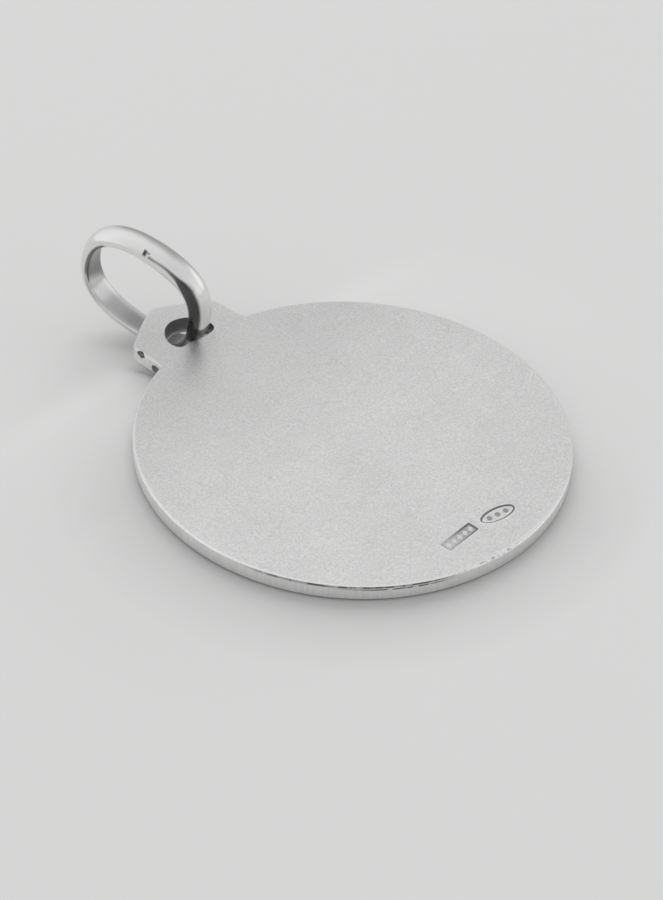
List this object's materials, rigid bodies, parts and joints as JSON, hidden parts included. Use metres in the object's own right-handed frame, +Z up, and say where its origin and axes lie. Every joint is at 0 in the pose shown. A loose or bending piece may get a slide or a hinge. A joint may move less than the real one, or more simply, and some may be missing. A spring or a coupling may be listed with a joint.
{
  "type": "religious medal pendant",
  "caption": "Round silver medal with a plain satin back and a pierced house-shaped ear, hanging from an oval jump ring.",
  "frame": {"origin": "middle of the bottom of the box of the whole, on the surface that the medal lies on", "axes": "+Y from the disc towards its ear and ring, +Z up, out of the plain back; the front faces down"},
  "size_m": [0.022, 0.0296, 0.0071],
  "materials": {
    "medal_silver": "satin sterling silver, fine-grained on the back, rubbed bright along the edge",
    "ring_silver": "polished sterling silver"
  },
  "bodies": {
    "root": {"medal": "medal_silver", "jump_ring": "ring_silver"}
  },
  "joints": []
}
